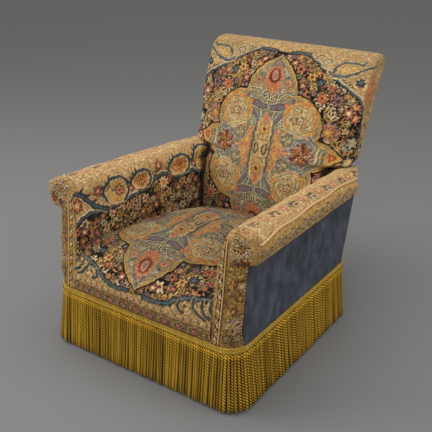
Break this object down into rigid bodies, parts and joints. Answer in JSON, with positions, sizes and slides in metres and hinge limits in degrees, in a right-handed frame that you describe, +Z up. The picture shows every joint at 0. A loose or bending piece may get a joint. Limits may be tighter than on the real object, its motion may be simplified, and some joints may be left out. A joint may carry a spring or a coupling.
{
  "type": "armchair",
  "caption": "Low upholstered easy chair with roll arms, a raked scroll-top back, a sprung seat and a long bullion fringe hiding short legs.",
  "frame": {"origin": "middle of the chair's box in plan, on the floor", "axes": "+Z up, the chair faces -Y, +X is to the right as seen from the front"},
  "size_m": [0.7746, 0.9704, 0.857],
  "materials": {
    "beech": "sawn, unpolished",
    "carpet_moquette": "short woven pile, worn",
    "blue_velvet": "plain pile, slightly rubbed",
    "gold_trimming": "twisted wool cord",
    "cord_piping": "covered cord",
    "guard_cloth": "woven strip",
    "hessian": "coarse jute",
    "lining_cloth": "thin black cloth",
    "spring_steel": "drawn wire"
  },
  "bodies": {
    "root": {"arm_band_left": "carpet_moquette", "arm_band_right": "carpet_moquette", "arm_facing_left": "carpet_moquette", "arm_facing_right": "carpet_moquette", "arm_pad_left": "carpet_moquette", "arm_pad_right": "carpet_moquette", "arm_piping_left": "cord_piping", "arm_piping_right": "cord_piping", "arm_rail_left": "beech", "arm_rail_right": "beech", "arm_stump_left": "beech", "arm_stump_right": "beech", "arm_tack_rail_left": "beech", "arm_tack_rail_right": "beech", "back_canvas": "hessian", "back_pad": "carpet_moquette", "back_post_left": "beech", "back_post_right": "beech", "back_rail": "beech", "bottom_lining": "lining_cloth", "braid": "gold_trimming", "bullion_fringe": "gold_trimming", "facing_piping_left": "cord_piping", "facing_piping_right": "cord_piping", "front_leg_left": "beech", "front_leg_right": "beech", "front_rail": "beech", "guard_stripe_left": "guard_cloth", "guard_stripe_right": "guard_cloth", "inside_arm_canvas_left": "hessian", "inside_arm_canvas_right": "hessian", "lower_back_rail": "beech", "outside_arm_left": "blue_velvet", "outside_arm_right": "blue_velvet", "outside_back": "blue_velvet", "seat_pad": "carpet_moquette", "seat_spring_1": "spring_steel", "seat_spring_2": "spring_steel", "seat_spring_3": "spring_steel", "seat_spring_4": "spring_steel", "seat_spring_5": "spring_steel", "seat_spring_6": "spring_steel", "seat_spring_7": "spring_steel", "seat_spring_8": "spring_steel", "seat_spring_9": "spring_steel", "seat_webbing": "hessian", "side_rail_left": "beech", "side_rail_right": "beech", "spring_canvas": "hessian", "top_rail": "beech"}
  },
  "joints": []
}
